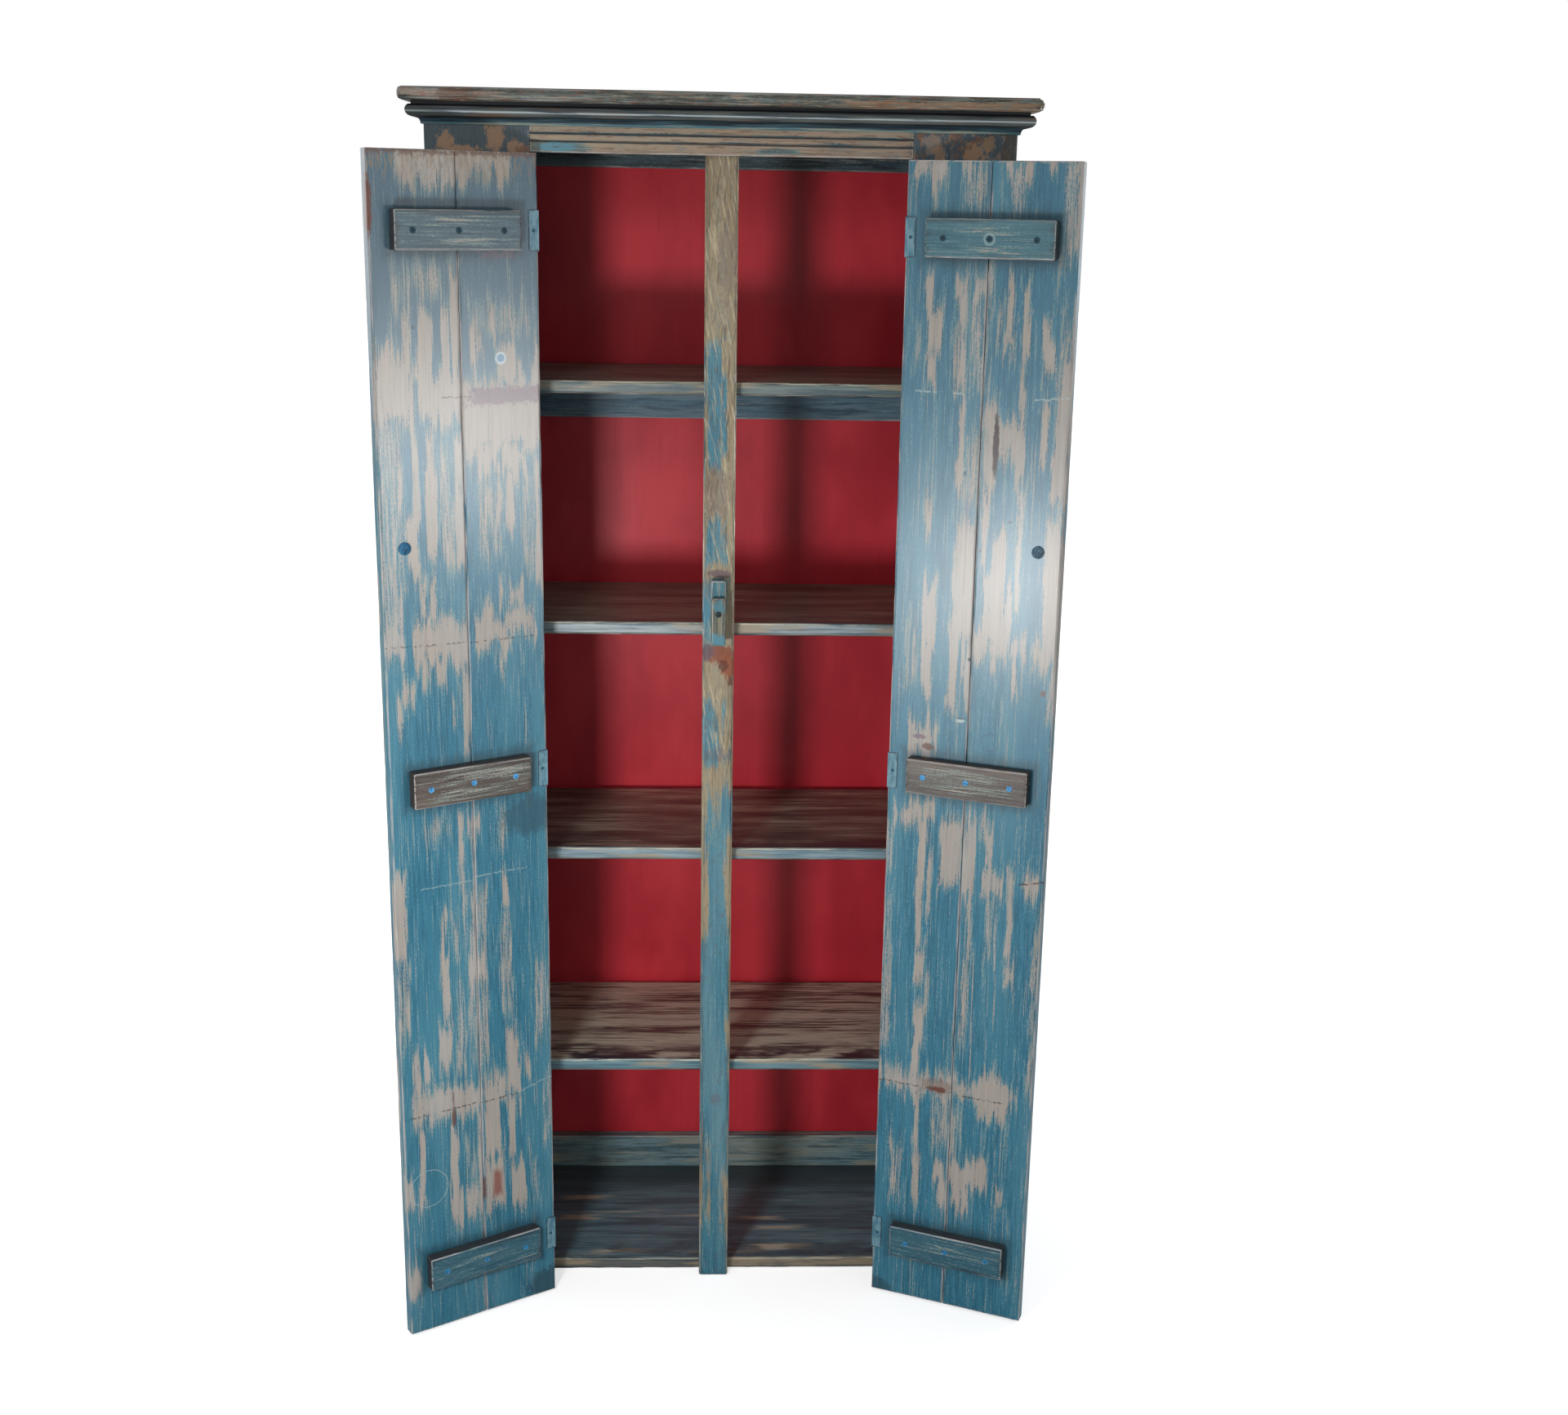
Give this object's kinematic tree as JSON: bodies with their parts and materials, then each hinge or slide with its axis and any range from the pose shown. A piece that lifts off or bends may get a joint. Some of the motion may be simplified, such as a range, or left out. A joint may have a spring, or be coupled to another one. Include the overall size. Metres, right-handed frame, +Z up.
{
  "type": "cabinet",
  "caption": "Tall narrow pantry cabinet in worn blue paint, with paired plank doors, a centre post with a turn button, shelves, a red back and a moulded cornice.",
  "frame": {"origin": "on the floor, in the middle of the carcass's footprint without its cornice", "axes": "+Z up, +Y from the doors to the back, +X to the right seen from the front"},
  "size_m": [0.954, 0.5189, 1.829],
  "materials": {
    "blue_painted_wood": "turquoise-blue milk paint, scraped through to tan wood, satin varnish",
    "shelf_wood": "dark brown worn wood under satin varnish, painted front edges",
    "red_painted_panel": "deep red paint, satin",
    "plain_wood": "plain sawn wood, matte",
    "painted_hinge": "painted over in blue, satin",
    "painted_screw": "painted over in dark blue, satin",
    "steel_nail": "dull steel",
    "knob_wood": "turned wood, painted blue, worn"
  },
  "bodies": {
    "carcass": {"left_side_panel": "blue_painted_wood", "right_side_panel": "blue_painted_wood", "left_stile": "blue_painted_wood", "right_stile": "blue_painted_wood", "frieze_rail": "blue_painted_wood", "center_post": "blue_painted_wood", "back_bottom_rail": "blue_painted_wood", "back_middle_rail": "blue_painted_wood", "back_top_rail": "blue_painted_wood", "crown_front": "blue_painted_wood", "crown_left": "blue_painted_wood", "crown_right": "blue_painted_wood", "cornice_cap": "blue_painted_wood", "latch_block": "blue_painted_wood", "bottom_board": "shelf_wood", "shelf_1": "shelf_wood", "shelf_2": "shelf_wood", "shelf_3": "shelf_wood", "shelf_4": "shelf_wood", "back_panel": "red_painted_panel", "left_cleat_1": "plain_wood", "left_cleat_2": "plain_wood", "left_cleat_3": "plain_wood", "left_cleat_4": "plain_wood", "right_cleat_1": "plain_wood", "right_cleat_2": "plain_wood", "right_cleat_3": "plain_wood", "right_cleat_4": "plain_wood", "left_frame_leaves": "painted_hinge", "right_frame_leaves": "painted_hinge", "hinge_pins": "painted_hinge", "left_cleat_screws": "painted_screw", "right_cleat_screws": "painted_screw", "left_frame_leaf_screws": "painted_screw", "right_frame_leaf_screws": "painted_screw", "turn_button_screw": "painted_screw", "back_panel_nails": "steel_nail", "cap_nails": "steel_nail"},
    "left_door": {"left_hinge_plank": "blue_painted_wood", "left_free_plank": "blue_painted_wood", "left_bottom_batten": "blue_painted_wood", "left_middle_batten": "blue_painted_wood", "left_top_batten": "blue_painted_wood", "left_door_leaves": "painted_hinge", "left_batten_screws": "painted_screw", "left_door_leaf_screws": "painted_screw", "left_knob_screw": "painted_screw", "left_knob": "knob_wood"},
    "right_door": {"right_hinge_plank": "blue_painted_wood", "right_free_plank": "blue_painted_wood", "right_bottom_batten": "blue_painted_wood", "right_middle_batten": "blue_painted_wood", "right_top_batten": "blue_painted_wood", "right_door_leaves": "painted_hinge", "right_batten_screws": "painted_screw", "right_door_leaf_screws": "painted_screw", "right_knob_screw": "painted_screw", "right_knob": "knob_wood"},
    "turn_button": {"turn_button": "blue_painted_wood"}
  },
  "joints": [
    {"name": "left_door_hinge", "type": "hinge", "parent": "carcass", "child": "left_door", "pos_m": [-0.2616, -0.188, 0.875], "axis": [0, 0, -1], "range_deg": [-148.8, 26.2]},
    {"name": "right_door_hinge", "type": "hinge", "parent": "carcass", "child": "right_door", "pos_m": [0.2616, -0.188, 0.875], "axis": [0, 0, 1], "range_deg": [-156.4, 18.6]},
    {"name": "turn_button_pivot", "type": "hinge", "parent": "carcass", "child": "turn_button", "pos_m": [0, -0.1863, 1.106], "axis": [0, 1, 0], "continuous": true}
  ]
}
